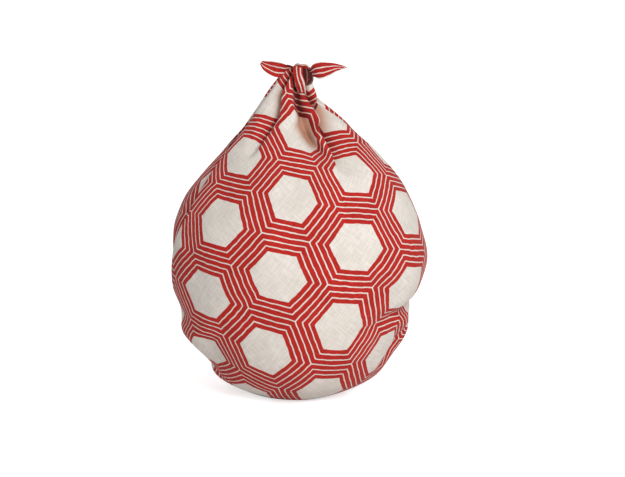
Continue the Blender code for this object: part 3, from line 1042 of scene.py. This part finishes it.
def mix(tree, factor, one, other):
    """A colour between two."""
    node = tree.nodes.new("ShaderNodeMix")
    node.data_type = "RGBA"
    feed(tree, node.inputs["Factor"], factor)
    feed(tree, node.inputs[6], one)
    feed(tree, node.inputs[7], other)
    return node.outputs[2]


def turned_place(tree, place, turn, shift=(0, 0, 0)):
    """A place on the flat cloth after a turn and a shift."""
    node = tree.nodes.new("ShaderNodeMapping")
    tree.links.new(place, node.inputs["Vector"])
    node.inputs["Location"].default_value = shift
    node.inputs["Rotation"].default_value = (0, 0, turn)
    return node.outputs["Vector"]


print("node helpers are ready")

# %% Tortoiseshell print group
CREAM_HALF = 21 * MM  # from a hexagon's middle to its flat side
LINES = (25.5 * MM, 30.75 * MM, 36 * MM)
LINE_HALF = 0.55 * MM
EDGE_SOFT = 0.15 * MM
WOBBLE, WOBBLE_SPACING = 2.4 * MM, 60 * MM
HAND_CUT, HAND_CUT_SPACING = 0.7 * MM, 7 * MM


def hexagon_distance(tree, place):
    """How far a place is from its hexagon's middle, measured square to the nearest side."""
    row = PITCH * math.sqrt(3)
    offsets = []
    for shift in ((0, 0, 0), (PITCH / 2, row / 2, 0)):
        moved = vector_node(tree, "SUBTRACT", place, shift)
        within = vector_node(tree, "WRAP", moved, (PITCH / 2, row / 2, 1), (-PITCH / 2, -row / 2, -1))
        offsets.append(vector_node(tree, "MULTIPLY", within, (1, 1, 0)))
    distances = []
    for offset in offsets:
        size = vector_node(tree, "ABSOLUTE", offset)
        slanted = vector_node(tree, "DOT_PRODUCT", size, (0.5, math.sqrt(3) / 2, 0))
        level = vector_node(tree, "DOT_PRODUCT", size, (1, 0, 0))
        distances.append(math_node(tree, "MAXIMUM", slanted, level))
    return math_node(tree, "MINIMUM", *distances)


def print_group():
    """Where the cloth is red: 1 on the bands, and 0 on the hexagons and the thin lines."""
    tree, given, result = group("tortoiseshell print", {"Flat Place": "Vector"}, {"Red": "Float"})
    place = turned_place(tree, given["Flat Place"], PRINT_TURN, PRINT_SHIFT)
    for reach, spacing in ((WOBBLE, WOBBLE_SPACING), (HAND_CUT, HAND_CUT_SPACING)):
        _, colour = noise_node(tree, place, spacing, detail=1.0)
        centred = vector_node(tree, "SUBTRACT", colour, (0.5, 0.5, 0.5))
        moved = vector_node(tree, "SCALE", centred)
        moved.node.inputs["Scale"].default_value = 2 * reach
        place = vector_node(tree, "ADD", place, moved)
    distance = hexagon_distance(tree, place)
    red = ramp(tree, distance, CREAM_HALF - EDGE_SOFT, CREAM_HALF + EDGE_SOFT)
    for line in LINES:
        away = math_node(tree, "ABSOLUTE", math_node(tree, "SUBTRACT", distance, line))
        off_line = ramp(tree, away, LINE_HALF - EDGE_SOFT, LINE_HALF + EDGE_SOFT)
        red = math_node(tree, "MULTIPLY", red, off_line)
    tree.links.new(red, result["Red"])
    return tree


printed = print_group()
print("the print has", len(printed.nodes), "nodes")

# %% [markdown]
# ## Weave
#
# Close up, the cotton is a plain weave: warp and weft threads pass over and under each other. Some threads
# are thicker than others for part of their length. These slubs show as faint darker and lighter streaks along
# both thread directions. The threads run parallel to the cloth's edges, so they lie at 45 degrees to the way
# the front corner points. A crossed pair of waves gives the threads, and noise stretched both ways the slubs.

# %% Weave group
THREAD = 0.75 * MM
THREAD_HEIGHT = 0.25  # of the height that the slubs add
WEAVE_TURN = math.radians(45)
SLUB_LENGTH, SLUB_WIDTH = 13 * MM, 1.5 * MM
CLOUD_SPACING = 26 * MM


def weave_group():
    """The weave's height, its lighter and darker threads around 0.5, and slow clouds around 0.5."""
    outputs = dict.fromkeys(("Height", "Threads", "Clouds"), "Float")
    tree, given, result = group("plain weave", {"Flat Place": "Vector"}, outputs)
    place = turned_place(tree, given["Flat Place"], WEAVE_TURN)
    split = tree.nodes.new("ShaderNodeSeparateXYZ")
    tree.links.new(place, split.inputs[0])
    waves = []
    for axis in (0, 1):
        along = math_node(tree, "MULTIPLY", split.outputs[axis], math.tau / THREAD)
        waves.append(math_node(tree, "SINE", along))
    woven = math_node(tree, "MULTIPLY", math_node(tree, "MULTIPLY", *waves), THREAD_HEIGHT)
    slubs = []
    for stretch in ((1 / SLUB_LENGTH, 1 / SLUB_WIDTH, 1), (1 / SLUB_WIDTH, 1 / SLUB_LENGTH, 1)):
        value, _ = noise_node(tree, vector_node(tree, "MULTIPLY", place, stretch), 1.0, detail=3.0)
        slubs.append(value)
    threads = math_node(tree, "MULTIPLY", math_node(tree, "ADD", *slubs), 0.5)
    clouds, _ = noise_node(tree, place, CLOUD_SPACING, detail=3.0)
    tree.links.new(math_node(tree, "ADD", woven, threads), result["Height"])
    tree.links.new(threads, result["Threads"])
    tree.links.new(clouds, result["Clouds"])
    return tree


weave = weave_group()
print("the weave has", len(weave.nodes), "nodes")

# %% [markdown]
# ## Dye and painted shade
#
# Neither the red dye nor the bare cream cotton is one even colour, because thick threads take dye another way
# than thin ones and cloth is never quite clean or flat. So each runs between a light and a deep colour, along
# the threads and in soft clouds. Shade is painted in as well: in a fold the colour turns to a painted shaded
# colour, and in the knot's hollow to a painted near-black. Front and reverse share all this, so it is one
# node group, and on the reverse it is given less print.

# %% Dye and painted shade group
# each dye's third colour is its painted shade, deep in a fold
Dye = namedtuple("Dye", "light deep in_folds streaks")
CREAM = Dye((0.73, 0.68, 0.625, 1), (0.52, 0.465, 0.405, 1), (0.45, 0.235, 0.155, 1), 0.55)
RED = Dye((0.47, 0.018, 0.012, 1), (0.29, 0.009, 0.007, 1), (0.12, 0.005, 0.006, 1), 0.6)
# painted shade: the knot's hollow is painted nearly black
PAINTED_KNOT_SHADE = (0.03, 0.005, 0.005, 1)
PAINTED_KNOT_LIMITS = (1.0, 2.0)  # from the deepest fold's shade to the shade in the knot's hollow
STREAK_LIMITS, CLOUD_LIMITS = (0.38, 0.62), (0.3, 0.7)
CLOUD_STRENGTH = 0.35
MATT_LIMITS, MATT = (0.3, 0.7), (0.78, 0.92)


def dye_and_painted_shade_group():
    """The cotton's colour and roughness, from its print, threads and clouds, with shade painted in by the
    depth of its folds.
    """
    inputs = dict.fromkeys(("Red", "Strength", "Threads", "Clouds", "In Folds"), "Float")
    tree, given, result = group("dyed cotton and painted shade", inputs, {"Colour": "Color", "Roughness": "Float"})
    streaks = ramp(tree, given["Threads"], *STREAK_LIMITS)
    clouds = ramp(tree, given["Clouds"], *CLOUD_LIMITS, 0.0, CLOUD_STRENGTH)
    colours = []
    for dye in (CREAM, RED):
        colour = mix(tree, math_node(tree, "MULTIPLY", streaks, dye.streaks), dye.light, dye.deep)
        colour = mix(tree, clouds, colour, dye.deep)
        # paint shade into the folds
        colours.append(mix(tree, given["In Folds"], colour, dye.in_folds))
    printed_colour = mix(tree, math_node(tree, "MULTIPLY", given["Red"], given["Strength"]), *colours)
    # paint the knot's hollow nearly black
    painted_knot_share = ramp(tree, given["In Folds"], *PAINTED_KNOT_LIMITS)
    tree.links.new(mix(tree, painted_knot_share, printed_colour, PAINTED_KNOT_SHADE), result["Colour"])
    tree.links.new(ramp(tree, given["Threads"], *MATT_LIMITS, *MATT), result["Roughness"])
    return tree


dyed = dye_and_painted_shade_group()
print("the dye has", len(dyed.nodes), "nodes")

# %% Cloth materials
REVERSE_STRENGTH = 0.55  # how much of the print shows through
WEAVE_BUMP, WEAVE_BUMP_STRENGTH = 0.10 * MM, 0.6
FINISH = {"Specular IOR Level": 0.2, "Sheen Weight": 0.06, "Sheen Roughness": 0.5}


def cloth_material(name, strength):
    """Printed cotton with shade painted into its folds. The print's strength is 1 on the front and less on
    the reverse.
    """
    material = bpy.data.materials.new(name)
    material.use_nodes = True
    tree = material.node_tree
    shader = tree.nodes["Principled BSDF"].inputs
    # the attribute node reads the painted fold shade
    flat, folds, bump = (tree.nodes.new(f"ShaderNode{kind}") for kind in ("UVMap", "Attribute", "Bump"))
    flat.uv_map, folds.attribute_name = FLAT, PAINTED_SHADE
    prints, weaves, dye_and_shade_node = (tree.nodes.new("ShaderNodeGroup") for _ in range(3))
    prints.node_tree, weaves.node_tree, dye_and_shade_node.node_tree = printed, weave, dyed
    dye_and_shade_node.inputs["Strength"].default_value = strength
    bump.inputs["Distance"].default_value = WEAVE_BUMP
    bump.inputs["Strength"].default_value = WEAVE_BUMP_STRENGTH
    for socket, value in FINISH.items():
        shader[socket].default_value = value
    for output, socket in (
        (flat.outputs["UV"], prints.inputs["Flat Place"]),
        (flat.outputs["UV"], weaves.inputs["Flat Place"]),
        (prints.outputs["Red"], dye_and_shade_node.inputs["Red"]),
        (weaves.outputs["Threads"], dye_and_shade_node.inputs["Threads"]),
        (weaves.outputs["Clouds"], dye_and_shade_node.inputs["Clouds"]),
        (folds.outputs["Fac"], dye_and_shade_node.inputs["In Folds"]),
        (dye_and_shade_node.outputs["Colour"], shader["Base Color"]),
        (dye_and_shade_node.outputs["Roughness"], shader["Roughness"]),
        (weaves.outputs["Height"], bump.inputs["Height"]),
        (bump.outputs["Normal"], shader["Normal"]),
    ):
        tree.links.new(output, socket)
    return material


cloth.data.materials.append(cloth_material("printed cotton", 1.0))
cloth.data.materials.append(cloth_material("reverse of the printed cotton", REVERSE_STRENGTH))
print("materials:", [material.name for material in cloth.data.materials])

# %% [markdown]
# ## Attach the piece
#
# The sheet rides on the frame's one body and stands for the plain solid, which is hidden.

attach(cloth, "root")
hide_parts("furoshiki_cloth")
print("declared", cloth.name)

# %% [markdown]
# ## Stage, light and camera
#
# A wide pale dish is the floor and the backdrop at once, so no horizon shows from any side. It glows a
# little, but only where the camera sees it, so the glow whitens the backdrop and adds no light to the cloth.
# Most of the light comes evenly from the world, as in a white tent. One softbox in front, a little to the
# right, models the folds. The camera looks slightly down, from far enough away that the wrap isn't distorted.

# %% Stage
FLOOR_RADIUS, WALL_RADIUS, WALL_HEIGHT = 3.0, 4.5, 2.0  # metres
FLOOR_SIDES, WALL_STEPS = 96, 10
FLOOR_COLOUR, FLOOR_ROUGHNESS = (0.9, 0.9, 0.9, 1), 0.9
BACKDROP_GLOW = 0.65


def make_stage():
    """A round floor that curves up into a low wall, far outside the camera."""
    bm = bmesh.new()
    bmesh.ops.create_circle(bm, cap_ends=True, segments=FLOOR_SIDES, radius=FLOOR_RADIUS)
    rim = [edge for edge in bm.edges if edge.is_boundary]
    for k in range(WALL_STEPS):
        grown = bmesh.ops.extrude_edge_only(bm, edges=rim)["geom"]
        rim = [edge for edge in grown if isinstance(edge, bmesh.types.BMEdge) and edge.is_boundary]
        turn = math.radians(90) * (k + 1) / WALL_STEPS
        reach = FLOOR_RADIUS + (WALL_RADIUS - FLOOR_RADIUS) * math.sin(turn)
        for v in {v for edge in rim for v in edge.verts}:
            v.co.xy = v.co.xy.normalized() * reach
            v.co.z = WALL_HEIGHT * (1 - math.cos(turn))
    bmesh.ops.recalc_face_normals(bm, faces=bm.faces)
    return new_object("pale_floor", bm)


def floor_material():
    """Matt white, with a glow that only the camera sees."""
    material = bpy.data.materials.new("pale floor")
    material.use_nodes = True
    tree = material.node_tree
    shader = tree.nodes["Principled BSDF"].inputs
    shader["Base Color"].default_value = FLOOR_COLOUR
    shader["Roughness"].default_value = FLOOR_ROUGHNESS
    shader["Emission Color"].default_value = (1, 1, 1, 1)
    seen = tree.nodes.new("ShaderNodeLightPath").outputs["Is Camera Ray"]
    tree.links.new(math_node(tree, "MULTIPLY", seen, BACKDROP_GLOW), shader["Emission Strength"])
    return material


stage = make_stage()
stage.data.materials.append(floor_material())
print("the stage is", round(stage.dimensions.x, 1), "m wide")

# %% Light
DAYLIGHT = 0.58
SOFTBOX_SIZE, SOFTBOX_POWER = 0.5, 11
SOFTBOX_PLACE, SOFTBOX_AIM = Vector((0.50, -1.05, 0.80)), Vector((0, 0, 0.17))

world = bpy.data.worlds.new("soft daylight")
bpy.context.scene.world = world
world.use_nodes = True
background = world.node_tree.nodes["Background"].inputs
background["Color"].default_value = (1, 1, 1, 1)
background["Strength"].default_value = DAYLIGHT

light = bpy.data.lights.new("softbox", "AREA")
light.size = SOFTBOX_SIZE
light.energy = SOFTBOX_POWER
softbox = bpy.data.objects.new("softbox", light)
softbox.location = SOFTBOX_PLACE
softbox.rotation_euler = (SOFTBOX_AIM - SOFTBOX_PLACE).to_track_quat("-Z", "Y").to_euler()
bpy.context.scene.collection.objects.link(softbox)
bpy.context.scene.view_settings.view_transform = "Standard"
print("the softbox stands", round(SOFTBOX_PLACE.length, 2), "m away in a bright world")

# %% Camera
CAMERA_AIM = Vector((0.0145, 0, 0.155))
CAMERA_DISTANCE, CAMERA_ELEVATION, LENS = 1.48, 12, 85
camera = bpy.data.objects.new("camera", bpy.data.cameras.new("camera"))
camera.data.lens = LENS
rise = math.radians(CAMERA_ELEVATION)
away = Vector((0, -math.cos(rise), math.sin(rise)))
camera.location = CAMERA_AIM + away * CAMERA_DISTANCE
camera.rotation_euler = (-away).to_track_quat("-Z", "Y").to_euler()
bpy.context.scene.collection.objects.link(camera)
bpy.context.scene.camera = camera
print("the camera is", round(camera.location.length, 2), "m away")
